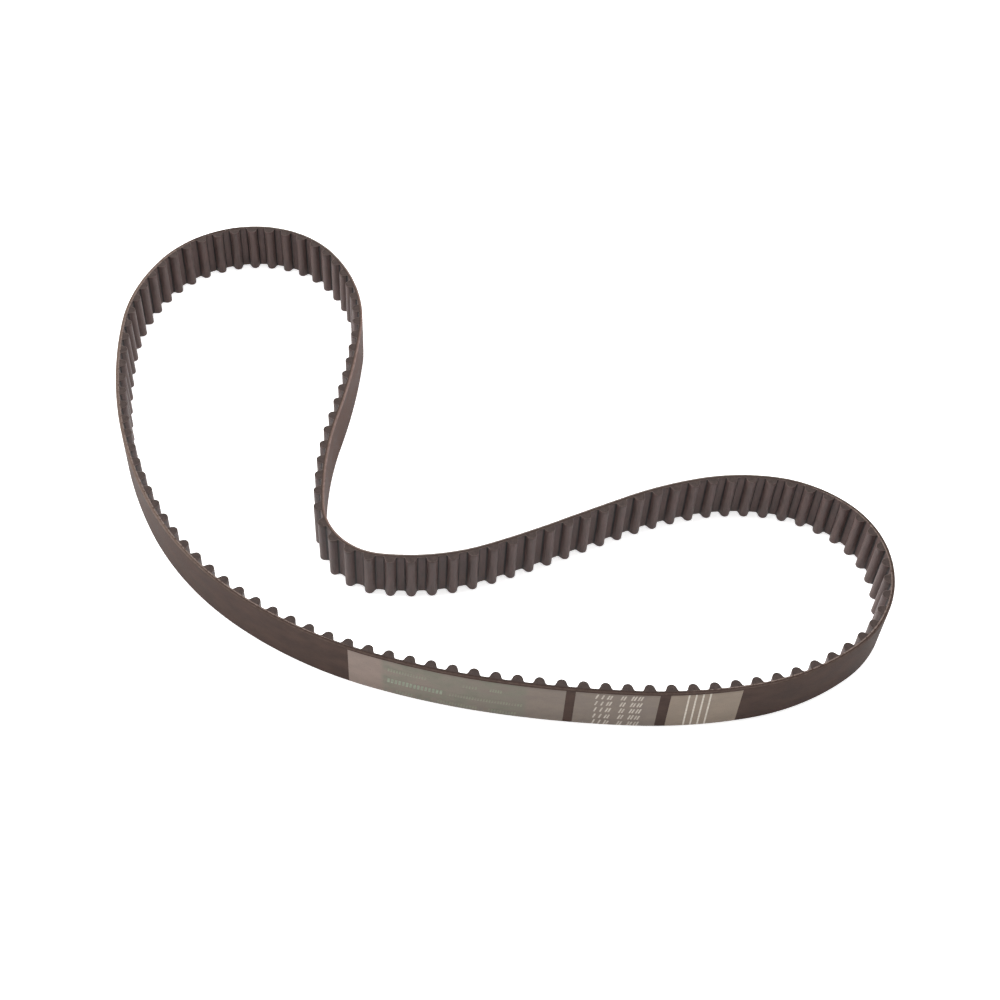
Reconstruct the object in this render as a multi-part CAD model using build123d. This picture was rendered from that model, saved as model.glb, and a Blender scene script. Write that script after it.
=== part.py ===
from build123d import *
from math import acos, atan2, cos, degrees, hypot, pi, radians, sin, sqrt
import os

# Endless synchronous (timing) belt with round teeth, standing on one cut edge in the loose
# bean-shaped loop that it springs into when nothing holds it. Millimetres, +Z up along the belt's width.
# The loop is a closed chain of tangent arcs that follows the cord line, the line that keeps its length
# when the belt bends. "Inward" is the distance from the cord line towards the teeth.

# ---- belt size ----
PITCH = 9.525
TOOTH_COUNT = 124
BELT_WIDTH = 26.0
CORD_LINE_LENGTH = PITCH * TOOTH_COUNT

# ---- layers, measured from the cord line ----
BACK_RISE = 1.15
BEDDING_DEPTH = 0.40
FACING_THICKNESS = 0.20
LAND_DEPTH = BEDDING_DEPTH + FACING_THICKNESS

# ---- tensile cords ----
CORD_DIAMETER = 0.70
CORD_COAT = 0.01  # room for the bonding coat between a cord and the rubber round it
CORD_SPACING = 1.60
CORD_COUNT = 16

# ---- tooth profile ----
TOOTH_HEIGHT = 3.35
TIP_RADIUS = 2.30
BASE_HALF_WIDTH = 2.90
ROOT_RADIUS = 1.00
TEETH_PER_NODE = 4
FIRST_TOOTH_AT = 3.45

# ---- label printed on the back: places along the belt, and heights above the lower edge ----
FILM_THICKNESS = 0.05
INK_THICKNESS = 0.03
FILM_LOW = 0.2
FILM_HIGH = 25.0
MAKER_PANEL = (347.3, 443.9)
BATCH_PANEL = (448.0, 484.3)
LINES_PANEL = (488.9, 520.5)
TIMING_LINE_COUNT = 4
TIMING_LINE_FIRST = 496.7
TIMING_LINE_STEP = 3.15
TIMING_LINE_WIDTH = 0.75
BATCH_ROW_COUNT = 5
BATCH_ROW_LOW = 0.3
BATCH_ROW_STEP = 5.1
BATCH_ROW_HEIGHT = 3.6
BATCH_BARS = ((456.7, 457.7), (459.3, 460.3), (461.9, 463.3), (467.4, 468.7), (472.2, 473.9), (474.7, 476.4))
MAKER_ROWS = (
    (1.4, 2.2, ((369.3, 376.6), (388.1, 405.6), (410.8, 422.9))),
    (8.4, 3.2, ((365.3, 389.9),)),
    (8.6, 2.2, ((393.3, 425.3),)),
    (17.2, 2.4, ((365.6, 382.7), (399.1, 405.1), (411.0, 416.1))),
)

# ---- the loop: points of the cord line and its heading there, counter-clockwise, in degrees ----
LOOP_KNOTS = (
    (-140.5, 140.0, 194.0),
    (-189.0, 63.5, 272.0),
    (-157.0, -49.0, 300.5),
    (-46.0, -128.5, 345.5),
    (70.5, -140.5, 1.5),
    (169.0, -109.0, 40.5),
    (188.0, -56.5, 100.0),
    (138.5, -15.5, 175.5),
    (68.0, -33.0, 207.5),
    (4.0, -66.0, 204.5),
    (-75.0, -48.5, 98.0),
    (-69.0, 68.5, 89.5),
)


# ---------------------------------------------------------------- the loop as a chain of arcs
def arc_from(x, y, heading, x_end, y_end):
    """The arc that leaves a point at a heading and ends at another point."""
    chord = hypot(x_end - x, y_end - y)
    half_turn = (atan2(y_end - y, x_end - x) - heading + pi) % (2 * pi) - pi
    length = chord * half_turn / sin(half_turn)
    return x, y, heading, 2 * half_turn, length


def arc_pair(start, end):
    """Two tangent arcs that join one knot to the next and meet both headings."""
    x0, y0, heading0 = start
    x1, y1, heading1 = end
    tx0, ty0 = cos(heading0), sin(heading0)
    tx1, ty1 = cos(heading1), sin(heading1)
    dx, dy = x1 - x0, y1 - y0
    along = dx * (tx0 + tx1) + dy * (ty0 + ty1)
    spread = 2 * (1 - tx0 * tx1 - ty0 * ty1)
    reach = (sqrt(along**2 + spread * (dx**2 + dy**2)) - along) / spread
    x_mid = (x0 + x1 + reach * (tx0 - tx1)) / 2
    y_mid = (y0 + y1 + reach * (ty0 - ty1)) / 2
    first = arc_from(x0, y0, heading0, x_mid, y_mid)
    second = arc_from(x_mid, y_mid, heading0 + first[3], x1, y1)
    return [first, second]


def chain_of_arcs(scale, shift_x=0.0, shift_y=0.0):
    knots = [(x * scale + shift_x, y * scale + shift_y, radians(a)) for x, y, a in LOOP_KNOTS]
    chain = []
    for start, end in zip(knots, knots[1:] + knots[:1]):
        chain.extend(arc_pair(start, end))
    return chain


def chain_length(chain):
    return sum(arc[4] for arc in chain)


def arc_point(arc, distance, inward):
    """A point beside an arc, at a distance along it, and the heading there."""
    x, y, heading, turn, length = arc
    radius = length / turn
    ahead = heading + distance / radius
    x += radius * (sin(ahead) - sin(heading)) - inward * sin(ahead)
    y += radius * (cos(heading) - cos(ahead)) + inward * cos(ahead)
    return x, y, ahead


def belt_point(at, inward):
    """A point beside the cord line, at a distance along the whole belt, and the heading there."""
    at %= CORD_LINE_LENGTH
    for arc in LOOP[:-1]:
        if at < arc[4]:
            return arc_point(arc, at, inward)
        at -= arc[4]
    return arc_point(LOOP[-1], at, inward)


def arc_edge(arc, start, end, inward):
    """The edge beside an arc between two distances along it."""
    points = [arc_point(arc, d, inward)[:2] for d in (start, (start + end) / 2, end)]
    return Edge.make_three_point_arc(*points)


def belt_edges(start, end, inward):
    """Edges that run beside the cord line from one distance to another, one for each arc passed."""
    edges = []
    base = 0.0
    for arc in LOOP + LOOP:
        low = max(start - base, 0.0)
        high = min(end - base, arc[4])
        if high - low > 1e-6:
            edges.append(arc_edge(arc, low, high, inward))
        base += arc[4]
    return edges


def loop_wire(inward):
    return Wire([arc_edge(arc, 0.0, arc[4], inward) for arc in LOOP])


# ---------------------------------------------------------------- endless layers
def section_place(arc, inward, height):
    """A point of a cross-section that stands across the belt at the start of an arc."""
    x, y, _ = arc_point(arc, 0.0, inward)
    return x, y, height


def swept_section(section):
    """One endless solid: a closed cross-section carried round every arc of the loop and sewn up."""
    faces = []
    for arc in LOOP:
        x, y, heading, turn, length = arc
        radius = length / turn
        centre = (x - radius * sin(heading), y + radius * cos(heading), 0)
        axis = Axis(centre, (0, 0, 1))
        for edge in section(arc):
            faces.append(Face.revolve(edge, degrees(turn), axis))
    return Solid(Shell(Face.sew_faces(faces)[0]))


def cord_heights():
    lowest = (BELT_WIDTH - CORD_SPACING * (CORD_COUNT - 1)) / 2
    return [lowest + CORD_SPACING * turn for turn in range(CORD_COUNT)]


def grooved_section(arc, flat_side, groove_side):
    """A strip from the cord line to its flat side, with half-round grooves where the cords lie."""
    radius = CORD_DIAMETER / 2 + CORD_COAT
    edges = []
    height = 0.0
    for cord in cord_heights():
        below = section_place(arc, 0, cord - radius)
        above = section_place(arc, 0, cord + radius)
        bottom = section_place(arc, groove_side * radius, cord)
        edges.append(Edge.make_line(section_place(arc, 0, height), below))
        edges.append(Edge.make_three_point_arc(below, bottom, above))
        height = cord + radius
    low_corner = section_place(arc, flat_side, 0)
    high_corner = section_place(arc, flat_side, BELT_WIDTH)
    edges.append(Edge.make_line(section_place(arc, 0, height), section_place(arc, 0, BELT_WIDTH)))
    edges.append(Edge.make_line(section_place(arc, 0, BELT_WIDTH), high_corner))
    edges.append(Edge.make_line(high_corner, low_corner))
    edges.append(Edge.make_line(low_corner, section_place(arc, 0, 0)))
    return edges


def back_rubber():
    return swept_section(lambda arc: grooved_section(arc, -BACK_RISE, -1))


def cord_bedding_rubber():
    return swept_section(lambda arc: grooved_section(arc, BEDDING_DEPTH, 1))


def cord_turn(height):
    """One turn of tensile cord: a closed ring that stands for one turn of the real helix."""

    def section(arc):
        across = Plane(section_place(arc, 0, height), z_dir=(cos(arc[2]), sin(arc[2]), 0))
        return [Edge.make_circle(CORD_DIAMETER / 2, across)]

    return swept_section(section)


def cord_turns(first):
    """Every second turn of cord: the two twist directions lie side by side."""
    return Compound([cord_turn(height) for height in cord_heights()[first::2]])


# ---------------------------------------------------------------- teeth and their facing
def tooth_frame(at):
    """Places a point given in a tooth's own straight frame: u along the belt, v inward."""
    x, y, heading = belt_point(at, 0.0)

    def place(u, v):
        return x + u * cos(heading) - v * sin(heading), y + u * sin(heading) + v * cos(heading)

    return place


TIP_DEPTH = LAND_DEPTH + TOOTH_HEIGHT
TIP_CENTRE = TIP_DEPTH - TIP_RADIUS
FLANK_ANGLE = atan2(LAND_DEPTH - TIP_CENTRE, BASE_HALF_WIDTH) + acos(
    TIP_RADIUS / hypot(LAND_DEPTH - TIP_CENTRE, BASE_HALF_WIDTH)
)
FLANK_RUN = -sin(FLANK_ANGLE)
FLANK_RISE = cos(FLANK_ANGLE)
ROOT_REACH = ROOT_RADIUS * sin(pi / 4 - FLANK_ANGLE / 2) / cos(pi / 4 - FLANK_ANGLE / 2)
ROOT_HALF_WIDTH = BASE_HALF_WIDTH + ROOT_REACH
CORE_RADIUS = TIP_RADIUS - FACING_THICKNESS
CORE_HALF_WIDTH = CORE_RADIUS * cos(FLANK_ANGLE) - FLANK_RUN / FLANK_RISE * (
    TIP_CENTRE + CORE_RADIUS * sin(FLANK_ANGLE) - BEDDING_DEPTH
)


def tip_arc(place, radius):
    """The round tip, from one flank to the other, and its two ends."""
    u = radius * cos(FLANK_ANGLE)
    v = TIP_CENTRE + radius * sin(FLANK_ANGLE)
    left, right = place(-u, v), place(u, v)
    return left, right, Edge.make_three_point_arc(left, place(0, TIP_CENTRE + radius), right)


def core_edges(at):
    """The rubber tooth's own outline above the cord bedding."""
    place = tooth_frame(at)
    left, right, tip = tip_arc(place, CORE_RADIUS)
    left_foot = belt_point(at - CORE_HALF_WIDTH, BEDDING_DEPTH)[:2]
    right_foot = belt_point(at + CORE_HALF_WIDTH, BEDDING_DEPTH)[:2]
    return [Edge.make_line(left_foot, left), tip, Edge.make_line(right, right_foot)]


def root_arc(place, at, side):
    """The fillet at one side of a tooth, from the land to the flank, and its end on the flank."""
    land = belt_point(at + side * ROOT_HALF_WIDTH, LAND_DEPTH)[:2]
    corner_run = hypot(ROOT_REACH, ROOT_RADIUS)
    middle = place(
        side * (ROOT_HALF_WIDTH - ROOT_RADIUS * ROOT_REACH / corner_run),
        LAND_DEPTH + ROOT_RADIUS * (1 - ROOT_RADIUS / corner_run),
    )
    flank = place(
        side * (BASE_HALF_WIDTH + FLANK_RUN * ROOT_REACH),
        LAND_DEPTH + FLANK_RISE * ROOT_REACH,
    )
    return flank, Edge.make_three_point_arc(land, middle, flank)


def faced_edges(at):
    """The outline of a tooth with its fabric on, from land to land."""
    place = tooth_frame(at)
    left, right, tip = tip_arc(place, TIP_RADIUS)
    left_flank, left_root = root_arc(place, at, -1)
    right_flank, right_root = root_arc(place, at, 1)
    return [left_root, Edge.make_line(left_flank, left), tip, Edge.make_line(right, right_flank), right_root]


def toothed_wire(tooth_edges, half_width, inward):
    """A closed line that follows the lands and goes round every tooth."""
    edges = []
    for tooth in range(TOOTH_COUNT):
        at = FIRST_TOOTH_AT + tooth * PITCH
        edges.extend(tooth_edges(at))
        edges.extend(belt_edges(at + half_width, at + PITCH - half_width, inward))
    return Wire(edges)


def upright(face):
    return extrude(face, amount=BELT_WIDTH, dir=(0, 0, 1))


def tooth_facing():
    rubber_side = toothed_wire(core_edges, CORE_HALF_WIDTH, BEDDING_DEPTH)
    open_side = toothed_wire(faced_edges, ROOT_HALF_WIDTH, LAND_DEPTH)
    return upright(Face(rubber_side, [open_side]))


def tooth_core(tooth):
    """One moulded rubber tooth, standing on the cord bedding."""
    at = FIRST_TOOTH_AT + tooth * PITCH
    foot = belt_edges(at - CORE_HALF_WIDTH, at + CORE_HALF_WIDTH, BEDDING_DEPTH)
    return upright(Face(Wire(core_edges(at) + foot)))


# ---------------------------------------------------------------- label on the back
def back_patch(start, end, low, high, base, thickness):
    """A thin layer on the back, between two places along the belt and two heights."""
    under = belt_edges(start, end, -base)
    over = belt_edges(start, end, -base - thickness)
    ends = [
        Edge.make_line(belt_point(at, -base)[:2], belt_point(at, -base - thickness)[:2])
        for at in (start, end)
    ]
    patch = extrude(Face(Wire(under + over + ends)), amount=high - low, dir=(0, 0, 1))
    return patch.moved(Location((0, 0, low)))


def film(panel):
    return back_patch(*panel, FILM_LOW, FILM_HIGH, BACK_RISE, FILM_THICKNESS)


def ink(start, end, low, high):
    return back_patch(start, end, low, high, BACK_RISE + FILM_THICKNESS, INK_THICKNESS)


def timing_lines():
    lines = []
    for line in range(TIMING_LINE_COUNT):
        start = TIMING_LINE_FIRST + line * TIMING_LINE_STEP
        lines.append(ink(start, start + TIMING_LINE_WIDTH, FILM_LOW, FILM_HIGH))
    return Compound(lines)


def batch_rows():
    """Rows of plain bars that stand for the printed batch code."""
    bars = []
    for row in range(BATCH_ROW_COUNT):
        low = BATCH_ROW_LOW + row * BATCH_ROW_STEP
        for start, end in BATCH_BARS:
            bars.append(ink(start, end, low, low + BATCH_ROW_HEIGHT))
    return Compound(bars)


def maker_rows():
    """Plain bars that stand for the maker's words: each row has a low edge, a height and its bars."""
    bars = []
    for low, height, words in MAKER_ROWS:
        for start, end in words:
            bars.append(ink(start, end, low, low + height))
    return Compound(bars)


# ---------------------------------------------------------------- the assembly
def centred_loop():
    """The arc chain at its exact length, moved so that the belt's box is centred on the origin."""
    global LOOP
    scale = CORD_LINE_LENGTH / chain_length(chain_of_arcs(1.0))
    LOOP = chain_of_arcs(scale)
    middle = Face(loop_wire(-BACK_RISE)).bounding_box().center()
    LOOP = chain_of_arcs(scale, -middle.X, -middle.Y)


def write(name, shape):
    shape.label = name
    export_step(shape, f"parts/{name}.step")


centred_loop()
os.makedirs("parts", exist_ok=True)
write("back_rubber", back_rubber())
write("cord_bedding_rubber", cord_bedding_rubber())
write("cords_s_twist", cord_turns(0))
write("cords_z_twist", cord_turns(1))
write("tooth_facing", tooth_facing())
for group in range(TOOTH_COUNT // TEETH_PER_NODE):
    first_tooth = group * TEETH_PER_NODE
    cores = [tooth_core(first_tooth + tooth) for tooth in range(TEETH_PER_NODE)]
    write(f"teeth_{group + 1:02d}", Compound(cores))
write("label_film_maker", film(MAKER_PANEL))
write("label_film_batch", film(BATCH_PANEL))
write("label_film_lines", film(LINES_PANEL))
write("timing_lines", timing_lines())
write("batch_rows", batch_rows())
write("maker_rows", maker_rows())
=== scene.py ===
"""Looks of an endless timing belt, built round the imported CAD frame. Metres, +Z up."""

import random
from math import acos, atan2, cos, hypot, pi, radians, sin, sqrt

import bpy
import numpy as np
from mathutils import Matrix, Vector


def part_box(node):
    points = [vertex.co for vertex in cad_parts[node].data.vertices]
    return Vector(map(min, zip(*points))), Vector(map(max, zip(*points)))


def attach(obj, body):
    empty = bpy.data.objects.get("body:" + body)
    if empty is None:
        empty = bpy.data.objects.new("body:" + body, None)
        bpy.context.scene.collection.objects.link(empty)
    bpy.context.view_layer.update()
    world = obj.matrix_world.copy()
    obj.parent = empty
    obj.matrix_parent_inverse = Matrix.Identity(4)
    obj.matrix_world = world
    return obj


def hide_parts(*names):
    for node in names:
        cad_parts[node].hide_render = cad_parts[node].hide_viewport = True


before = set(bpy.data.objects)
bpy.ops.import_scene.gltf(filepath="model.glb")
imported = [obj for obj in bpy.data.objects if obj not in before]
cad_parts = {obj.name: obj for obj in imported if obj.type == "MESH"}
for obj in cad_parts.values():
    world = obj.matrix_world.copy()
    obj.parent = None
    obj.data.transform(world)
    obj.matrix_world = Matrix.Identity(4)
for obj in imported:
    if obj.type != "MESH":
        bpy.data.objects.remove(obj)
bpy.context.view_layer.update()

MM = 0.001

# ---------------------------------------------------------------- the belt's sizes, as in the CAD
PITCH = 9.525 * MM
TOOTH_COUNT = 124
BELT_WIDTH = 26.0 * MM
CORD_LINE_LENGTH = PITCH * TOOTH_COUNT
BACK_RISE = 1.15 * MM
BEDDING_DEPTH = 0.40 * MM
FACING_THICKNESS = 0.20 * MM
LAND_DEPTH = BEDDING_DEPTH + FACING_THICKNESS
CORD_DIAMETER = 0.70 * MM
CORD_COAT = 0.01 * MM
CORD_SPACING = 1.60 * MM
CORD_COUNT = 16
TOOTH_HEIGHT = 3.35 * MM
TIP_RADIUS = 2.30 * MM
BASE_HALF_WIDTH = 2.90 * MM
ROOT_RADIUS = 1.00 * MM
FIRST_TOOTH_AT = 3.45 * MM
FILM_THICKNESS = 0.05 * MM
INK_THICKNESS = 0.03 * MM
FILM_LOW = 0.2 * MM
FILM_HIGH = 25.0 * MM
MAKER_PANEL = (347.3 * MM, 443.9 * MM)
BATCH_PANEL = (448.0 * MM, 484.3 * MM)
LINES_PANEL = (488.9 * MM, 520.5 * MM)

# Places that the free loop passes through: x and y in mm, and the heading there in degrees.
LOOP_KNOTS = (
    (-140.5, 140.0, 194.0),
    (-189.0, 63.5, 272.0),
    (-157.0, -49.0, 300.5),
    (-46.0, -128.5, 345.5),
    (70.5, -140.5, 1.5),
    (169.0, -109.0, 40.5),
    (188.0, -56.5, 100.0),
    (138.5, -15.5, 175.5),
    (68.0, -33.0, 207.5),
    (4.0, -66.0, 204.5),
    (-75.0, -48.5, 98.0),
    (-69.0, 68.5, 89.5),
)


# ---------------------------------------------------------------- the loop as a chain of arcs
def arc_from(x, y, heading, x_end, y_end):
    """The arc that leaves a point at a heading and ends at another point."""
    chord = hypot(x_end - x, y_end - y)
    half_turn = (atan2(y_end - y, x_end - x) - heading + pi) % (2 * pi) - pi
    length = chord * half_turn / sin(half_turn)
    return x, y, heading, 2 * half_turn, length


def arc_pair(start, end):
    """Two tangent arcs that join one knot to the next and meet both headings."""
    x0, y0, heading0 = start
    x1, y1, heading1 = end
    tx0, ty0 = cos(heading0), sin(heading0)
    tx1, ty1 = cos(heading1), sin(heading1)
    dx, dy = x1 - x0, y1 - y0
    along = dx * (tx0 + tx1) + dy * (ty0 + ty1)
    spread = 2 * (1 - tx0 * tx1 - ty0 * ty1)
    reach = (sqrt(along**2 + spread * (dx**2 + dy**2)) - along) / spread
    x_mid = (x0 + x1 + reach * (tx0 - tx1)) / 2
    y_mid = (y0 + y1 + reach * (ty0 - ty1)) / 2
    first = arc_from(x0, y0, heading0, x_mid, y_mid)
    second = arc_from(x_mid, y_mid, heading0 + first[3], x1, y1)
    return [first, second]


def chain_of_arcs(scale):
    """The closed chain through the knots, in rows of (x, y, heading, turn, length)."""
    knots = [(x * scale, y * scale, radians(a)) for x, y, a in LOOP_KNOTS]
    chain = []
    for start, end in zip(knots, knots[1:] + knots[:1]):
        chain.extend(arc_pair(start, end))
    return np.array(chain)


LOOP = chain_of_arcs(MM)
LOOP = chain_of_arcs(MM * CORD_LINE_LENGTH / LOOP[:, 4].sum())
ARC_STARTS = np.concatenate([[0.0], np.cumsum(LOOP[:, 4])[:-1]])


def belt_line(at):
    """Points of the cord line and the headings there, at distances along the belt."""
    at = np.asarray(at) % CORD_LINE_LENGTH
    which = np.searchsorted(ARC_STARTS, at, side="right") - 1
    arcs = LOOP[which]
    past = at - ARC_STARTS[which]
    radius = arcs[..., 4] / arcs[..., 3]
    ahead = arcs[..., 2] + past / radius
    x = arcs[..., 0] + radius * (np.sin(ahead) - np.sin(arcs[..., 2]))
    y = arcs[..., 1] + radius * (np.cos(arcs[..., 2]) - np.cos(ahead))
    return x, y, ahead


def beside(at, inward):
    """Points beside the cord line: inward is the distance from it towards the teeth."""
    x, y, ahead = belt_line(at)
    return x - inward * np.sin(ahead) + SHIFT[0], y + inward * np.cos(ahead) + SHIFT[1]


OUTLINE_SAMPLES = 20001


def centring_shift():
    """How far the chain moves so that the back lies on the CAD's back."""
    x, y = beside(np.linspace(0, CORD_LINE_LENGTH, OUTLINE_SAMPLES), -BACK_RISE)
    low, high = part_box("back_rubber")
    return (low.x + high.x - x.min() - x.max()) / 2, (low.y + high.y - y.min() - y.max()) / 2


# The shift is measured on the chain with no shift.
SHIFT = (0.0, 0.0)
SHIFT = centring_shift()


# ---------------------------------------------------------------- meshes
def ripple(at, seed, waves, longest):
    """A smooth seeded wave round the whole belt, about 1 high, that closes on itself.
    Longest is the length of its longest waves."""
    draw = random.Random(seed)
    at = np.asarray(at, float)
    total = np.zeros_like(at)
    for _ in range(waves):
        turns = round(CORD_LINE_LENGTH / (longest * draw.uniform(0.15, 1.0)))
        total += np.sin(2 * pi * turns * at / CORD_LINE_LENGTH + draw.uniform(0, 2 * pi))
    return total / sqrt(waves)


def grid_object(name, points, coordinates, endless, material, smooth_angle=35):
    """A closed mesh from rings of points. Each ring is a cross-section, and coordinates gives
    (along, up, inward) for every point, with one ring more than points where the mesh is endless.
    Each face corner keeps its coordinates in the attribute belt, which the materials read."""
    rings, around, _ = points.shape
    steps = rings if endless else rings - 1
    here = np.arange(steps)
    ahead = (here + 1) % rings
    spot = np.arange(around)
    turn = (spot + 1) % around
    faces = np.stack(
        [
            here[:, None] * around + spot[None, :],
            ahead[:, None] * around + spot[None, :],
            ahead[:, None] * around + turn[None, :],
            here[:, None] * around + turn[None, :],
        ],
        axis=-1,
    ).reshape(-1, 4)
    corner = np.stack(
        [
            coordinates[here][:, spot],
            coordinates[here + 1][:, spot],
            coordinates[here + 1][:, turn],
            coordinates[here][:, turn],
        ],
        axis=2,
    ).reshape(-1, 3)
    flat = points.reshape(-1, 3)
    a, b, c, d = (flat[faces[:, k]] for k in range(4))
    volume = np.einsum("ij,ij->", np.cross(b - a, c - a) + np.cross(c - a, d - a), a)
    sizes = np.full(len(faces), 4)
    loops = faces.reshape(-1)
    if not endless:
        first_cap = spot[::-1]
        last_cap = (rings - 1) * around + spot
        loops = np.concatenate([loops, first_cap, last_cap])
        corner = np.concatenate([corner, coordinates[0][spot[::-1]], coordinates[-1][spot]])
        sizes = np.concatenate([sizes, [around, around]])
    mesh = bpy.data.meshes.new(name)
    mesh.vertices.add(len(flat))
    mesh.vertices.foreach_set("co", flat.astype(np.float32).ravel())
    mesh.loops.add(len(loops))
    mesh.loops.foreach_set("vertex_index", loops.astype(np.int32))
    mesh.polygons.add(len(sizes))
    mesh.polygons.foreach_set("loop_start", (np.cumsum(sizes) - sizes).astype(np.int32))
    mesh.update(calc_edges=True)
    attribute = mesh.attributes.new("belt", "FLOAT_VECTOR", "CORNER")
    attribute.data.foreach_set("vector", corner.astype(np.float32).ravel())
    if volume < 0:
        mesh.flip_normals()
    mesh.polygons.foreach_set("use_smooth", np.ones(len(mesh.polygons), bool))
    mesh.set_sharp_from_angle(angle=radians(smooth_angle))
    mesh.validate()
    made = bpy.data.objects.new(name, mesh)
    bpy.context.scene.collection.objects.link(made)
    made.data.materials.append(material)
    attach(made, "root")
    return made


def strip(name, ats, section, material, endless=False, relief=None):
    """Carries a cross-section of (inward, up) points along the belt, from ring to ring."""
    inward = np.array([p[0] for p in section])
    up = np.array([p[1] for p in section])
    at_grid, inward_grid = np.meshgrid(ats, inward, indexing="ij")
    up_grid = np.broadcast_to(up, at_grid.shape).copy()
    if relief is not None:
        inward_grid, up_grid = relief(at_grid, inward_grid, up_grid)
    x, y = beside(at_grid, inward_grid)
    points = np.stack([x, y, up_grid], axis=-1)
    coordinates = np.stack([at_grid, up_grid, inward_grid], axis=-1)
    if endless:
        last = coordinates[:1].copy()
        last[..., 0] += CORD_LINE_LENGTH
        coordinates = np.concatenate([coordinates, last])
    return grid_object(name, points, coordinates, endless, material)


def quarter(centre, radius, start, end, pieces):
    """Points of an arc in (inward, up), for a rounded edge. Angles are in radians."""
    angles = [start + (end - start) * k / pieces for k in range(pieces + 1)]
    return [(centre[0] + radius * cos(a), centre[1] + radius * sin(a)) for a in angles]


def spaced(start, end, step):
    """Evenly spaced places from start to end, about a step apart."""
    return np.linspace(start, end, max(2, round((end - start) / step) + 1))


RING_STEP = 1.9 * MM
RING_ATS = np.linspace(0, CORD_LINE_LENGTH, round(CORD_LINE_LENGTH / RING_STEP), endpoint=False)


# ---------------------------------------------------------------- materials
class Look:
    """A node material with one Principled shader, and short ways to add the nodes that feed it."""

    def __init__(self, name, roughness, specular=0.5, sheen=0.0):
        self.material = bpy.data.materials.new(name)
        self.material.use_nodes = True
        self.tree = self.material.node_tree
        self.shader = self.tree.nodes["Principled BSDF"]
        self.shader.inputs["Roughness"].default_value = roughness
        self.shader.inputs["Specular IOR Level"].default_value = specular
        self.shader.inputs["Sheen Weight"].default_value = sheen

    def node(self, kind, **inputs):
        made = self.tree.nodes.new(kind)
        for key, value in inputs.items():
            self.feed(made.inputs[key.replace("_", " ")], value)
        return made

    def feed(self, socket, value):
        if isinstance(value, bpy.types.NodeSocket):
            self.tree.links.new(value, socket)
        else:
            socket.default_value = value

    def belt(self):
        """(along, up, inward) in metres, carried by the meshes that are made here."""
        made = self.node("ShaderNodeAttribute")
        made.attribute_name = "belt"
        return made.outputs["Vector"]

    def place(self):
        """(x, y, z) in metres, for the meshes that carry no belt coordinates."""
        return self.node("ShaderNodeTexCoord").outputs["Object"]

    def stretched(self, belt, along=1.0, up=1.0, inward=1.0):
        """Belt coordinates times these, so a pattern grows longer in a direction under 1."""
        made = self.tree.nodes.new("ShaderNodeVectorMath")
        made.operation = "MULTIPLY"
        self.feed(made.inputs[0], belt)
        made.inputs[1].default_value = (along, up, inward)
        return made.outputs[0]

    def noise(self, vector, scale, detail=3.0, roughness=0.5):
        """Noise from 0 to 1, with about scale lumps to the metre."""
        made = self.node("ShaderNodeTexNoise", Scale=scale, Detail=detail, Roughness=roughness)
        self.feed(made.inputs["Vector"], vector)
        return made.outputs["Fac"]

    def scratches(self, belt):
        """Fine scratches that run along the belt, as grinding leaves them."""
        return self.noise(self.stretched(belt, along=0.06), scale=5200.0, detail=4.0, roughness=0.6)

    def math(self, operation, a, b=0.0):
        made = self.tree.nodes.new("ShaderNodeMath")
        made.operation = operation
        self.feed(made.inputs[0], a)
        self.feed(made.inputs[1], b)
        return made.outputs[0]

    def product(self, first, *others):
        for value in others:
            first = self.math("MULTIPLY", first, value)
        return first

    def weighted(self, *terms):
        """The sum of values, each times its weight."""
        scaled = [self.math("MULTIPLY", value, weight) for value, weight in terms]
        total = scaled[0]
        for value in scaled[1:]:
            total = self.math("ADD", total, value)
        return total

    def between(self, value, low, high, to_low=0.0, to_high=1.0):
        """Maps low..high to to_low..to_high, smoothly and without going past them."""
        made = self.tree.nodes.new("ShaderNodeMapRange")
        made.interpolation_type = "SMOOTHSTEP"
        self.feed(made.inputs["Value"], value)
        made.inputs["From Min"].default_value = low
        made.inputs["From Max"].default_value = high
        made.inputs["To Min"].default_value = to_low
        made.inputs["To Max"].default_value = to_high
        return made.outputs["Result"]

    def over(self, value, span):
        """1 inside a span of (start, full, fading, end), and 0 outside it."""
        start, full, fading, end = span
        return self.product(self.between(value, start, full), self.between(value, end, fading))

    def mix(self, factor, first, second):
        made = self.tree.nodes.new("ShaderNodeMix")
        made.data_type = "RGBA"
        colours = [s for s in made.inputs if s.type == "RGBA"]
        self.feed(made.inputs[0], factor)
        self.feed(colours[0], first)
        self.feed(colours[1], second)
        return [s for s in made.outputs if s.type == "RGBA"][0]

    def mottled(self, value, low, high, first, second):
        """The first colour where value is low, passing to the second where it is high."""
        return self.mix(self.between(value, low, high), first, second)

    def split(self, vector):
        made = self.node("ShaderNodeSeparateXYZ", Vector=vector)
        return made.outputs["X"], made.outputs["Y"], made.outputs["Z"]

    def facing_up(self):
        """1 where the surface faces straight up or down, as a cut edge does."""
        _, _, z = self.split(self.node("ShaderNodeNewGeometry").outputs["True Normal"])
        return self.between(self.math("ABSOLUTE", z), 0.75, 0.95)

    def finish(self, colour, height, distance, rough=None):
        """Joins the colour, a bump this deep and, if given, a roughness that varies."""
        self.feed(self.shader.inputs["Base Color"], colour)
        bump = self.node("ShaderNodeBump", Strength=1.0, Distance=distance, Height=height)
        self.feed(self.shader.inputs["Normal"], bump.outputs["Normal"])
        if rough is not None:
            self.feed(self.shader.inputs["Roughness"], rough)
        return self.material


def srgb(red, green, blue):
    """A display colour from 11 to 255 as the linear colour that a shader takes."""
    return (*(((value / 255 + 0.055) / 1.055) ** 2.4 for value in (red, green, blue)), 1.0)


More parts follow.
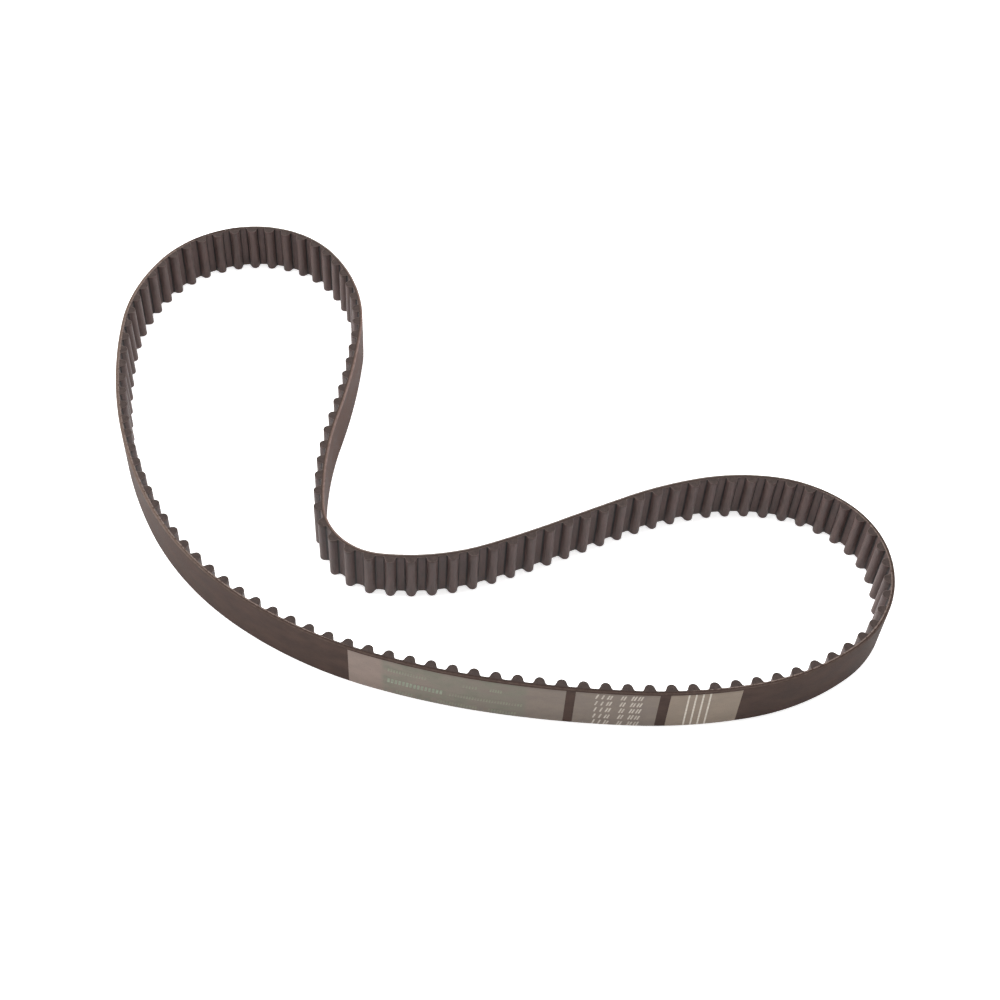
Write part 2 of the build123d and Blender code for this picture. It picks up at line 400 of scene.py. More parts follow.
# Where the colour and the painted rim highlight change along the belt. Four places are start,
# full, fading and end, and two are the start and the end of the change.
WAIST = (880 * MM, 940 * MM, 1080 * MM, 1130 * MM)
LEFT_SIDE = (20 * MM, 60 * MM, 220 * MM, 300 * MM)
FAR_SIDE = (640 * MM, 760 * MM)
TEXT_FADE = 1.5 * MM
MAKER_TEXT = (363.0 * MM, 427.0 * MM)
TINTED = (
    MAKER_TEXT[0] - TEXT_FADE,
    MAKER_TEXT[0] + TEXT_FADE,
    MAKER_TEXT[1] - TEXT_FADE,
    MAKER_TEXT[1] + TEXT_FADE,
)
# Depths from the cord line at which a tooth's root carries painted shade, as four such places.
ROOT_SHADE_DEPTHS = (
    LAND_DEPTH + 0.01 * MM,
    LAND_DEPTH + 0.15 * MM,
    LAND_DEPTH + 0.5 * MM,
    LAND_DEPTH + 1.1 * MM,
)
THREAD_SPACING = 0.42 * MM

BACK_DARK = srgb(56, 43, 38)
BACK_LIGHT = srgb(74, 58, 52)
BACK_WAIST = srgb(79, 57, 50)
EDGE_DARK = srgb(45, 33, 29)
EDGE_LIGHT = srgb(64, 49, 43)
PALE_EDGE_DARK = srgb(86, 70, 62)
PALE_EDGE_LIGHT = srgb(114, 96, 86)
# Colours of the painted highlight along the upper outer corner: near side, far side and waist.
RIM_HIGHLIGHT_NEAR = srgb(112, 98, 91)
RIM_HIGHLIGHT_FAR = srgb(142, 133, 127)
RIM_HIGHLIGHT_WAIST = srgb(130, 109, 103)
BEDDING_DARK = srgb(45, 34, 30)
BEDDING_LIGHT = srgb(66, 52, 46)
CLOTH_DARK = srgb(67, 51, 47)
CLOTH_LIGHT = srgb(89, 69, 65)
CLOTH_ROOT_SHADE = srgb(22, 16, 15)
CLOTH_CUT = srgb(84, 71, 66)
TOOTH_DARK = srgb(50, 40, 37)
TOOTH_LIGHT = srgb(70, 58, 54)
YARN_DARK = srgb(150, 122, 86)
YARN_LIGHT = srgb(196, 172, 132)
FRAYED_DARK = srgb(86, 73, 67)
FRAYED_LIGHT = srgb(128, 112, 104)
FRAYED_GAP = srgb(74, 58, 52)
FILM_DARK = srgb(119, 103, 94)
FILM_LIGHT = srgb(127, 111, 102)
FILM_DULL_DARK = srgb(107, 95, 86)
FILM_DULL_LIGHT = srgb(115, 103, 93)
FILM_BRIGHT_DARK = srgb(120, 106, 92)
FILM_BRIGHT_LIGHT = srgb(128, 114, 100)
FILM_TINT = srgb(103, 101, 88)
FILM_WORN = srgb(72, 60, 52)


def back_look():
    """Ground rubber with fine scratches, blotches, a rough cut edge and a painted highlight on the
    upper outer corner.
    """
    look = Look("ground_back_rubber", 0.6, specular=0.06)
    belt = look.belt()
    along, up, inward = look.split(belt)
    waist = look.over(along, WAIST)
    left_side = look.over(along, LEFT_SIDE)
    far_side = look.between(along, *FAR_SIDE)
    scratches = look.scratches(belt)
    blotches = look.noise(look.stretched(belt, along=0.5), scale=160.0, detail=3.0)
    grit = look.noise(belt, scale=9000.0, detail=2.0)
    shade = look.weighted((scratches, 0.55), (blotches, 0.45))
    body = look.mottled(shade, 0.34, 0.66, BACK_DARK, BACK_LIGHT)
    waist_patches = look.between(shade, 0.3, 0.7, to_low=0.35, to_high=1.0)
    body = look.mix(look.product(waist, waist_patches), body, BACK_WAIST)
    cut = look.facing_up()
    cut_belt = look.stretched(belt, along=0.5, inward=2.0)
    cut_noise = look.noise(cut_belt, scale=2600.0, detail=4.0, roughness=0.65)
    edge = look.mottled(cut_noise, 0.35, 0.65, EDGE_DARK, EDGE_LIGHT)
    pale_edge = look.mottled(cut_noise, 0.35, 0.65, PALE_EDGE_DARK, PALE_EDGE_LIGHT)
    pale = look.math("MAXIMUM", left_side, look.product(waist, 0.6))
    colour = look.mix(cut, body, look.mix(look.product(pale, 0.8), edge, pale_edge))
    # Painted highlight: a light line on the rounded upper outer corner where it catches light from
    # behind. It is wider at the waist, stronger on the far and left sides, and broken up in
    # patches.
    corner = look.between(up, BELT_WIDTH - 0.5 * MM, BELT_WIDTH - 0.1 * MM)
    wide_corner = look.between(up, BELT_WIDTH - 1.5 * MM, BELT_WIDTH - 0.6 * MM)
    corner = look.math("MAXIMUM", corner, look.product(waist, wide_corner))
    outer = look.between(inward, -BACK_RISE * 0.1, -BACK_RISE * 0.75)
    lumps = look.noise(belt, scale=500.0, detail=3.0)
    patches = look.between(lumps, 0.3, 0.7, to_low=0.6, to_high=1.0)
    rim_highlight_strength = look.math("ADD", look.product(look.math("MAXIMUM", far_side, left_side), 0.55), 0.35)
    rim_highlight_mask = look.product(corner, outer, patches, rim_highlight_strength)
    rim_highlight_colour = look.mix(waist, look.mix(far_side, RIM_HIGHLIGHT_NEAR, RIM_HIGHLIGHT_FAR), RIM_HIGHLIGHT_WAIST)
    colour = look.mix(rim_highlight_mask, colour, rim_highlight_colour)
    height = look.weighted((scratches, 0.8), (grit, 0.35), (look.product(cut, cut_noise), 1.4))
    rough = look.between(shade, 0.3, 0.7, to_low=0.54, to_high=0.68)
    return look.finish(colour, height, 0.03 * MM, rough=rough)


def bedding_look():
    """The thin layer under the cords: seen only as a line on the cut edges."""
    look = Look("bedding_rubber", 0.7, specular=0.2)
    belt = look.stretched(look.belt(), along=0.25)
    fibres = look.noise(belt, scale=6000.0, detail=4.0, roughness=0.6)
    colour = look.mottled(fibres, 0.3, 0.7, BEDDING_DARK, BEDDING_LIGHT)
    return look.finish(colour, fibres, 0.05 * MM)


def facing_look():
    """Woven nylon soaked in rubber: warp along the belt, weft across it, painted shade at the
    roots.
    """
    look = Look("facing_fabric", 0.50, specular=0.26, sheen=0.05)
    belt = look.belt()
    along, up, inward = look.split(belt)
    drift = look.product(look.noise(belt, scale=500.0, detail=2.0), 0.25 * MM)
    per_metre = 2 * pi / THREAD_SPACING
    warp = look.math("SINE", look.product(look.math("ADD", up, drift), per_metre))
    weft = look.math("SINE", look.product(look.math("ADD", along, drift), per_metre))
    weave = look.product(warp, weft)
    blotches = look.noise(look.stretched(belt, up=0.35), scale=260.0, detail=4.0, roughness=0.6)
    streaks = look.noise(look.stretched(belt, up=0.05), scale=1500.0, detail=3.0)
    shade = look.weighted((blotches, 0.6), (streaks, 0.4), (weave, 0.035))
    cloth = look.mottled(shade, 0.32, 0.68, CLOTH_DARK, CLOTH_LIGHT)
    uneven = look.between(streaks, 0.25, 0.6, to_low=0.6, to_high=1.0)
    # Painted shade: the tooth roots are darkened, broken up by the streaks.
    root_shade = look.product(look.over(inward, ROOT_SHADE_DEPTHS), uneven)
    cloth = look.mix(root_shade, cloth, CLOTH_ROOT_SHADE)
    colour = look.mix(look.facing_up(), cloth, CLOTH_CUT)
    height = look.weighted((weave, 0.5), (streaks, 0.8))
    rough = look.between(shade, 0.3, 0.7, to_low=0.44, to_high=0.58)
    return look.finish(colour, height, 0.04 * MM, rough=rough)


def tooth_look():
    """Moulded tooth rubber: seen on the cut ends of the teeth, greyer and rougher than the back."""
    look = Look("tooth_rubber", 0.68, specular=0.2)
    place = look.place()
    grain = look.noise(place, scale=2600.0, detail=4.0, roughness=0.65)
    blotches = look.noise(place, scale=500.0, detail=3.0)
    shade = look.weighted((grain, 0.6), (blotches, 0.4))
    colour = look.mottled(shade, 0.35, 0.65, TOOTH_DARK, TOOTH_LIGHT)
    return look.finish(colour, grain, 0.05 * MM)


def cord_look():
    """Twisted glass yarn, treated brown-yellow."""
    look = Look("glass_cord", 0.6, specular=0.4)
    fibres = look.noise(look.place(), scale=4000.0, detail=3.0)
    colour = look.mottled(fibres, 0.35, 0.65, YARN_DARK, YARN_LIGHT)
    return look.finish(colour, fibres, 0.03 * MM)


def cut_cord_look():
    """Cord filaments laid open by the knife along the upper edge: pinkish, frayed and broken up."""
    look = Look("cut_cord", 0.7, specular=0.2)
    belt = look.belt()
    fibres = look.noise(look.stretched(belt, along=0.35), scale=5000.0, detail=4.0, roughness=0.65)
    gaps = look.noise(belt, scale=420.0, detail=3.0)
    colour = look.mottled(fibres, 0.35, 0.62, FRAYED_DARK, FRAYED_LIGHT)
    colour = look.mottled(gaps, 0.50, 0.64, colour, FRAYED_GAP)
    return look.finish(colour, fibres, 0.06 * MM)


def film_look():
    """Silver-grey transfer print, thin enough that the ground rubber shows through in specks.
    It grows duller along the maker's marks, with a greenish tint round them, and is brighter on the
    third panel."""
    look = Look("label_film", 0.50, specular=0.25)
    belt = look.belt()
    along, _, _ = look.split(belt)
    scratches = look.scratches(belt)
    blotches = look.noise(look.stretched(belt, along=0.6), scale=190.0, detail=4.0, roughness=0.6)
    specks = look.noise(belt, scale=3600.0, detail=2.0)
    plain = look.mottled(blotches, 0.35, 0.65, FILM_DARK, FILM_LIGHT)
    dull = look.mottled(blotches, 0.35, 0.65, FILM_DULL_DARK, FILM_DULL_LIGHT)
    bright = look.mottled(blotches, 0.35, 0.65, FILM_BRIGHT_DARK, FILM_BRIGHT_LIGHT)
    grey = look.mottled(along, *MAKER_TEXT, plain, dull)
    grey = look.mottled(along, BATCH_PANEL[1], LINES_PANEL[0], grey, bright)
    tinted = look.over(along, TINTED)
    tint = look.product(tinted, look.between(blotches, 0.3, 0.7, to_low=0.25, to_high=0.95))
    grey = look.mix(tint, grey, FILM_TINT)
    thin = look.product(look.between(specks, 0.56, 0.74), look.between(scratches, 0.4, 0.7))
    colour = look.mix(thin, grey, FILM_WORN)
    height = look.weighted((scratches, 0.6), (specks, 0.3))
    rough = look.between(blotches, 0.3, 0.7, to_low=0.46, to_high=0.58)
    return look.finish(colour, height, 0.02 * MM, rough=rough)


def ink_look(name, fresh, faded, patch_scale):
    """Printing ink, faded in patches."""
    look = Look(name, 0.55, specular=0.3)
    belt = look.belt()
    patches = look.noise(belt, scale=patch_scale, detail=4.0, roughness=0.65)
    specks = look.noise(belt, scale=5200.0, detail=2.0)
    shade = look.weighted((patches, 0.6), (specks, 0.4))
    colour = look.mottled(shade, 0.38, 0.66, fresh, faded)
    return look.finish(colour, specks, 0.02 * MM)


def floor_look():
    """Matte white, lit from within like a light table, so that hardly any shadow shows."""
    look = Look("studio_floor", 0.9, specular=0.1)
    mottle = look.noise(look.place(), scale=3.0, detail=2.0)
    colour = look.mix(mottle, (0.93, 0.93, 0.93, 1.0), (0.96, 0.96, 0.96, 1.0))
    look.shader.inputs["Emission Color"].default_value = (1.0, 1.0, 1.0, 1.0)
    look.shader.inputs["Emission Strength"].default_value = 0.75
    return look.finish(colour, mottle, 0.1 * MM)


BACK = back_look()
BEDDING = bedding_look()
FACING = facing_look()
TOOTH = tooth_look()
CORD = cord_look()
CUT_CORD = cut_cord_look()
FILM = film_look()
WHITE = ink_look("white_ink", srgb(198, 190, 178), srgb(166, 156, 144), 900.0)
PALE = ink_look("pale_ink", srgb(186, 177, 166), srgb(150, 139, 128), 600.0)
GREEN = ink_look("green_ink", srgb(128, 136, 118), srgb(108, 110, 95), 420.0)
FAINT = ink_look("faint_ink", srgb(116, 118, 100), srgb(112, 104, 93), 300.0)


# ---------------------------------------------------------------- endless layers
EDGE_ROUND = 0.14 * MM
EDGE_PIECES = 3
GROOVE_PIECES = 4
FACE_MARGIN = 1.2 * MM
FACE_STEP = 2.9 * MM
CUT_WAVE = 0.018 * MM
CUT_RIPPLE = 0.010 * MM
CUT_REACH = 1 * MM
CUT_LIFT = 0.014 * MM


def groove_points(side, heights):
    """Half-round grooves for the cords, in the order of the given heights. Side is -1 in the back
    and 1 in the bedding."""
    radius = CORD_DIAMETER / 2 + CORD_COAT
    upward = 1 if heights[-1] > heights[0] else -1
    points = []
    for height in heights:
        for k in range(GROOVE_PIECES + 1):
            angle = pi * k / GROOVE_PIECES
            points.append((side * sin(angle) * radius, height - cos(angle) * radius * upward))
    return points


def cord_heights():
    """The heights of the cord's turns, from the lowest up."""
    lowest = (BELT_WIDTH - CORD_SPACING * (CORD_COUNT - 1)) / 2
    return [lowest + CORD_SPACING * turn for turn in range(CORD_COUNT)]


def cut_relief(at, inward, up):
    """The knife leaves both cut edges slightly wavy. The lower one is lifted to clear the floor."""
    wave = ripple(at, seed=5, waves=7, longest=24 * MM) * CUT_WAVE
    fine = ripple(at, seed=6, waves=9, longest=7 * MM) * CUT_RIPPLE
    upper = np.clip((up - BELT_WIDTH + CUT_REACH) / CUT_REACH, 0, 1)
    lower = np.clip((CUT_REACH - up) / CUT_REACH, 0, 1)
    return inward, up + (wave + fine) * upper - (wave - fine) * 0.5 * lower + CUT_LIFT * lower


def make_back():
    """The back: ground outer face, rounded corners, cut edges, grooves over the cords."""
    outer = -BACK_RISE
    lower_corner = (outer + EDGE_ROUND, EDGE_ROUND)
    upper_corner = (outer + EDGE_ROUND, BELT_WIDTH - EDGE_ROUND)
    section = quarter(lower_corner, EDGE_ROUND, 1.5 * pi, pi, EDGE_PIECES)
    face_heights = spaced(FACE_MARGIN, BELT_WIDTH - FACE_MARGIN, FACE_STEP)
    section += [(outer, height) for height in face_heights]
    section += quarter(upper_corner, EDGE_ROUND, pi, 0.5 * pi, EDGE_PIECES)
    section += [(outer * 0.55, BELT_WIDTH), (outer * 0.2, BELT_WIDTH), (0.0, BELT_WIDTH)]
    section += groove_points(-1, cord_heights()[::-1])
    section += [(0.0, 0.0), (outer * 0.5, 0.0)]
    made = strip("belt_back", RING_ATS, section, BACK, endless=True, relief=cut_relief)
    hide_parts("back_rubber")


def make_bedding():
    """The rubber between the cords and the facing."""
    inner = BEDDING_DEPTH
    section = [(0.0, 0.0)] + groove_points(1, cord_heights()) + [(0.0, BELT_WIDTH)]
    section += [(inner * 0.5, BELT_WIDTH), (inner, BELT_WIDTH)]
    section += [(inner, BELT_WIDTH / 2), (inner, 0.0)]
    made = strip("belt_bedding", RING_ATS, section, BEDDING, endless=True, relief=cut_relief)
    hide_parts("cord_bedding_rubber")


# ---------------------------------------------------------------- the fabric facing over the teeth
# A tooth has a round tip, two straight flanks and two round roots, and a rubber core inside.
TIP_DEPTH = LAND_DEPTH + TOOTH_HEIGHT
TIP_CENTRE = TIP_DEPTH - TIP_RADIUS
FLANK_ANGLE = atan2(LAND_DEPTH - TIP_CENTRE, BASE_HALF_WIDTH) + acos(
    TIP_RADIUS / hypot(LAND_DEPTH - TIP_CENTRE, BASE_HALF_WIDTH)
)
FLANK_RUN = -sin(FLANK_ANGLE)
FLANK_RISE = cos(FLANK_ANGLE)
ROOT_REACH = ROOT_RADIUS * sin(pi / 4 - FLANK_ANGLE / 2) / cos(pi / 4 - FLANK_ANGLE / 2)
ROOT_HALF_WIDTH = BASE_HALF_WIDTH + ROOT_REACH
CORE_RADIUS = TIP_RADIUS - FACING_THICKNESS
CORE_HALF_WIDTH = CORE_RADIUS * cos(FLANK_ANGLE) - FLANK_RUN / FLANK_RISE * (
    TIP_CENTRE + CORE_RADIUS * sin(FLANK_ANGLE) - BEDDING_DEPTH
)
ROOT_PIECES = 6
FLANK_PIECES = 3
HALF_TIP_PIECES = 7
LAND_PIECES = 4
TOOTH_LEAN = 0.03 * MM
FACING_FRAY = 0.07 * MM
FACING_SAG = 0.012 * MM
FACING_MARGIN = 1.6 * MM
FACING_STEP = 2.85 * MM
SAME_PLACE = 1e-9


def half_profile():
    """The fabric's face and its rubber side, from the land to a tooth's top, as (run, depth)."""
    face = []
    rubber = []
    corner = (ROOT_HALF_WIDTH, LAND_DEPTH + ROOT_RADIUS)
    sweep = pi / 2 - FLANK_ANGLE
    for k in range(ROOT_PIECES):
        angle = sweep * k / ROOT_PIECES
        face.append((corner[0] - ROOT_RADIUS * sin(angle), corner[1] - ROOT_RADIUS * cos(angle)))
        share = k / ROOT_PIECES
        run = ROOT_HALF_WIDTH + (CORE_HALF_WIDTH - ROOT_HALF_WIDTH) * share
        rubber.append((run, BEDDING_DEPTH))
    foot = (corner[0] - ROOT_RADIUS * sin(sweep), corner[1] - ROOT_RADIUS * cos(sweep))
    shoulder = (TIP_RADIUS * cos(FLANK_ANGLE), TIP_CENTRE + TIP_RADIUS * sin(FLANK_ANGLE))
    core_shoulder = (CORE_RADIUS * cos(FLANK_ANGLE), TIP_CENTRE + CORE_RADIUS * sin(FLANK_ANGLE))
    for k in range(FLANK_PIECES):
        share = k / FLANK_PIECES
        face.append(tuple(f + (s - f) * share for f, s in zip(foot, shoulder)))
        rubber.append((
            CORE_HALF_WIDTH + (core_shoulder[0] - CORE_HALF_WIDTH) * share,
            BEDDING_DEPTH + (core_shoulder[1] - BEDDING_DEPTH) * share,
        ))
    for k in range(HALF_TIP_PIECES + 1):
        angle = FLANK_ANGLE + sweep * k / HALF_TIP_PIECES
        face.append((TIP_RADIUS * cos(angle), TIP_CENTRE + TIP_RADIUS * sin(angle)))
        rubber.append((CORE_RADIUS * cos(angle), TIP_CENTRE + CORE_RADIUS * sin(angle)))
    return face, rubber


def tooth_place(at, run, depth):
    """A point in a tooth's own straight frame, as the CAD places it."""
    x, y, heading = belt_line(at)
    return (
        x + run * np.cos(heading) - depth * np.sin(heading) + SHIFT[0],
        y + run * np.sin(heading) + depth * np.cos(heading) + SHIFT[1],
    )


def facing_lines():
    """The fabric's face and rubber side all round the belt, as x, y, and how deep the face lies."""
    face, rubber = half_profile()
    face = [(-u, v) for u, v in face] + face[-2::-1]
    rubber = [(-u, v) for u, v in rubber] + rubber[-2::-1]
    lines = []
    draw = random.Random(17)
    for tooth in range(TOOTH_COUNT):
        at = FIRST_TOOTH_AT + tooth * PITCH
        lean = draw.uniform(-TOOTH_LEAN, TOOTH_LEAN)
        for (u, v), (cu, cv) in zip(face, rubber):
            if abs(abs(u) - ROOT_HALF_WIDTH) < SAME_PLACE:
                outer = beside(at + u, v)
                inner = beside(at + u, cv)
            else:
                outer = tooth_place(at, u + lean * (v - LAND_DEPTH) / TOOTH_HEIGHT, v)
                inner = beside(at + cu, cv) if cv <= BEDDING_DEPTH else tooth_place(at, cu, cv)
            lines.append((*outer, *inner, v))
        for k in range(1, LAND_PIECES):
            spot = at + ROOT_HALF_WIDTH + (PITCH - 2 * ROOT_HALF_WIDTH) * k / LAND_PIECES
            lines.append((*beside(spot, LAND_DEPTH), *beside(spot, BEDDING_DEPTH), LAND_DEPTH))
    return np.array([[float(v) for v in line] for line in lines])


def make_facing():
    """The woven facing: thinner at its cut edges, and sagging a little between them."""
    lines = facing_lines()
    outer, inner, depth = lines[:, :2], lines[:, 2:4], lines[:, 4]
    step = np.hypot(*(np.roll(outer, -1, axis=0) - outer).T)
    along = np.concatenate([[0.0], np.cumsum(step)])
    tangent = np.roll(outer, -1, axis=0) - np.roll(outer, 1, axis=0)
    normal = np.stack([-tangent[:, 1], tangent[:, 0]], axis=1) / np.hypot(*tangent.T)[:, None]
    edge = [FACING_FRAY, FACING_FRAY * 0.3, 0.0]
    middle = spaced(FACING_MARGIN, BELT_WIDTH - FACING_MARGIN, FACING_STEP)
    heights = edge[::-1] + list(middle) + [BELT_WIDTH - rise for rise in edge]
    tucked = edge + [0.0] * len(middle) + edge[::-1]
    rings = len(outer)
    ats = np.arange(rings) / rings * CORD_LINE_LENGTH
    sag = ripple(ats, seed=9, waves=8, longest=30 * MM) * FACING_SAG
    columns = []
    labels = []
    for height, tuck in zip(heights, tucked):
        lean = sag * sin(pi * height / BELT_WIDTH)
        side = outer + normal * (lean - tuck)[:, None]
        columns.append(np.column_stack([side, np.full(rings, height)]))
        labels.append((height, depth))
    for height in (BELT_WIDTH, BELT_WIDTH / 2, 0.0):
        columns.append(np.column_stack([inner, np.full(rings, height)]))
        labels.append((height, depth - FACING_THICKNESS))
    points = np.stack(columns, axis=1)
    coordinates = np.zeros((rings + 1, len(columns), 3))
    coordinates[:, :, 0] = along[:, None]
    for column, (height, inward) in enumerate(labels):
        coordinates[:, column, 1] = height
        coordinates[:rings, column, 2] = inward
        coordinates[rings, column, 2] = inward[0]
    made = grid_object("belt_facing", points, coordinates, True, FACING, smooth_angle=50)
    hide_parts("tooth_facing")


# ---------------------------------------------------------------- cord laid open along the cut edge
CUT_CORD_SPANS = ((14 * MM, 350 * MM), (490 * MM, 700 * MM))
CUT_CORD_INWARD = 0.22 * MM
CUT_CORD_HALF_WIDTH = 0.30 * MM
CUT_CORD_PROUD = 0.07 * MM
CUT_CORD_BURIED = 0.2 * MM
CUT_CORD_FADE = 30 * MM
CUT_CORD_STEP = 0.7 * MM
RIDGE_PIECES = 8


def make_cut_cord(number, start, end):
    """A span where the knife ran along a cord: a low frayed ridge that sinks away at both ends."""
    seed = 30 + number

    def relief(at, inward, up):
        share = np.clip(np.minimum(at - start, end - at) / CUT_CORD_FADE, 0.02, 1)
        width = share * (1 + 0.22 * ripple(at, seed=seed, waves=9, longest=6 * MM))
        width = np.clip(width, 0.05, 1.4)
        inward = CUT_CORD_INWARD + (inward - CUT_CORD_INWARD) * width
        uneven = 1 + 0.35 * ripple(at, seed=seed + 10, waves=9, longest=4 * MM)
        rise = np.where(up > BELT_WIDTH, uneven, 1.0)
        return inward, BELT_WIDTH + (up - BELT_WIDTH) * np.clip(rise * share, 0.1, 1.5)

    section = []
    for k in range(RIDGE_PIECES + 1):
        angle = pi * k / RIDGE_PIECES
        reach = CUT_CORD_HALF_WIDTH * cos(angle)
        section.append((CUT_CORD_INWARD - reach, BELT_WIDTH + CUT_CORD_PROUD * sin(angle)))
    section += [(CUT_CORD_INWARD + CUT_CORD_HALF_WIDTH, BELT_WIDTH - CUT_CORD_BURIED)]
    section += [(CUT_CORD_INWARD - CUT_CORD_HALF_WIDTH, BELT_WIDTH - CUT_CORD_BURIED)]
    ats = spaced(start, end, CUT_CORD_STEP)
    strip(f"cut_cord_{number}", ats, section, CUT_CORD, relief=relief)


# ---------------------------------------------------------------- label on the back
FILM_STEP = 1.2 * MM
FILM_WANDER = 0.05 * MM
FILM_ROWS = 14
INK_ROWS = 4
TIMING_LINE_COUNT = 4
TIMING_LINE_FIRST = 496.7 * MM
TIMING_LINE_STEP = 3.15 * MM
TIMING_LINE_WIDTH = 0.75 * MM
TIMING_LINE_LEAN = -0.3 * MM
BATCH_ROW_COUNT = 5
BATCH_ROW_LOW = 0.3 * MM
BATCH_ROW_STEP = 5.1 * MM
BATCH_ROW_HEIGHT = 3.6 * MM
BATCH_DASH_WIDTH = 0.7 * MM
BATCH_DASH_LEAN = 0.9 * MM
# Where the dashes of a batch row start along the belt, in mm.
BATCH_COLUMNS = (456.5, 459.1, 461.5, 462.7, 467.4, 468.6, 471.9, 473.1, 474.7, 475.9)
# The maker's rows: how low and how tall each is, and its stretches along the belt in mm.
MAKER_ROWS = (
    (1.4 * MM, 2.2 * MM, ((369.3, 376.6), (388.1, 405.6), (410.8, 422.9))),
    (8.4 * MM, 3.2 * MM, ((365.3, 389.9),)),
    (8.6 * MM, 2.2 * MM, ((393.3, 425.3),)),
    (17.2 * MM, 2.4 * MM, ((365.6, 382.7), (399.1, 405.1), (411.0, 416.1))),
)
BOLD_ROW = 1
BOLD_TICK_STEP = 1.75 * MM
TICK_STEP = 1.25 * MM
TICK_SHARE = 0.62
TICK_LEAN = 0.3 * MM


def patch_section(low, high, base, thickness, rows):
    """A thin layer's cross-section on a surface base away from the cord line, with soft edges."""
    under = -base
    over = -base - thickness
    soft = thickness
    section = [(under, low), (over + thickness * 0.4, low), (over, low + soft)]
    section += [(over, height) for height in np.linspace(low + soft, high - soft, rows)[1:-1]]
    section += [(over, high - soft), (over + thickness * 0.4, high), (under, high)]
    return section


def make_film(number, node, panel):
    """One printed panel. Its upper and lower borders wander a little."""
    middle = (FILM_LOW + FILM_HIGH) / 2

    def relief(at, inward, up):
        wander = ripple(at, seed=40 + number, waves=6, longest=20 * MM) * FILM_WANDER
        return inward, up + wander * (up - middle) / middle

    section = patch_section(FILM_LOW, FILM_HIGH, BACK_RISE, FILM_THICKNESS, FILM_ROWS)
    ats = spaced(*panel, FILM_STEP)
    made = strip(f"label_panel_{number}", ats, section, FILM, relief=relief)
    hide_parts(node)


def join(parts, name, nodes):
    """Makes one piece of several, and has it stand for the CAD nodes."""
    bpy.ops.object.select_all(action="DESELECT")
    for part in parts:
        part.select_set(True)
    bpy.context.view_layer.objects.active = parts[0]
    bpy.ops.object.join()
    parts[0].name = name
    parts[0].data.name = name
    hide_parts(*nodes)


def stroke(name, at, low, length, width, slant, material, slot):
    """A short printed stroke across the belt. Slant is how far its top leans along the belt."""
    section = patch_section(low, low + length, BACK_RISE + FILM_THICKNESS, INK_THICKNESS, INK_ROWS)
    inward = np.array([p[0] for p in section])
    up = np.array([p[1] for p in section])
    ats = np.array([at, at + width / 2, at + width])
    at_grid = ats[:, None] + slant * (up - low)[None, :] / length
    inward_grid = np.broadcast_to(inward, at_grid.shape)
    up_grid = np.broadcast_to(up, at_grid.shape)
    x, y = beside(at_grid, inward_grid)
    points = np.stack([x, y, up_grid], axis=-1)
    coordinates = np.stack([at_grid, up_grid, inward_grid], axis=-1)
    return grid_object(name, points, coordinates, False, material)


def make_timing_lines():
    """The four white lines across the third panel."""
    tall = FILM_HIGH - FILM_LOW
    parts = []
    for line in range(TIMING_LINE_COUNT):
        at = TIMING_LINE_FIRST + line * TIMING_LINE_STEP
        size = (tall, TIMING_LINE_WIDTH, TIMING_LINE_LEAN)
        parts.append(stroke(f"line_{line}", at, FILM_LOW, *size, WHITE, "white_ink"))
    join(parts, "timing_marks", ["timing_lines"])


def make_batch_rows():
    """Five rows of plain slanted dashes on the second panel."""
    draw = random.Random(23)
    parts = []
    for row in range(BATCH_ROW_COUNT):
        low = BATCH_ROW_LOW + row * BATCH_ROW_STEP
        for at in BATCH_COLUMNS:
            name = f"dash_{len(parts)}"
            tall = BATCH_ROW_HEIGHT * draw.uniform(0.84, 1.0)
            lean = BATCH_DASH_LEAN * tall / BATCH_ROW_HEIGHT
            size = (tall, BATCH_DASH_WIDTH, lean)
            parts.append(stroke(name, at * MM, low, *size, PALE, "white_ink"))
    join(parts, "batch_marks", ["batch_rows"])


def make_maker_rows():
    """Rows of plain equal ticks on the first panel, one bold and the others faint."""
    parts = []
    for row, (low, tall, stretches) in enumerate(MAKER_ROWS):
        bold = row == BOLD_ROW
        ink = GREEN if bold else FAINT
        step = BOLD_TICK_STEP if bold else TICK_STEP
        for start, end in stretches:
            for at in spaced(start * MM, end * MM - step / 2, step):
                name = f"tick_{len(parts)}"
                size = (tall, step * TICK_SHARE, TICK_LEAN)
                parts.append(stroke(name, at, low, *size, ink, "green_ink"))
    join(parts, "maker_marks", ["maker_rows"])


# ---------------------------------------------------------------- studio
FLOOR_REACH = 6.0
FLOOR_GAP = 0.02 * MM
HORIZON_GLOW = 0.88
SKY_GLOW = 0.04
HORIZON_TOP = radians(7)
SKY_START = radians(25)
# Softboxes that face the belt: name, place, size and watts.
SOFTBOXES = (
    ("left_softbox", (-1.6, 0.2, 0.9), (1.6, 1.2), 27.0),
    ("right_softbox", (1.6, 0.2, 0.9), (1.6, 1.2), 4.5),
    ("top_softbox", (0.0, 0.7, 1.8), (2.6, 2.0), 58.0),
)
CAMERA_PLACE = (1.068 * MM, -502.52 * MM, 593.03 * MM)
CAMERA_PITCH = radians(50.8389)
CAMERA_ROLL = 0.05993


def make_floor():
    """A wide plain floor, just under the belt."""
    mesh = bpy.data.meshes.new("studio_floor")
    sides = [(-1, -1), (1, -1), (1, 1), (-1, 1)]
    corners = [(x * FLOOR_REACH, y * FLOOR_REACH, 0) for x, y in sides]
    mesh.from_pydata(corners, [], [(0, 1, 2, 3)])
    floor = bpy.data.objects.new("studio_floor", mesh)
    bpy.context.scene.collection.objects.link(floor)
    mesh.materials.append(floor_look())
    floor.location.z = -FLOOR_GAP


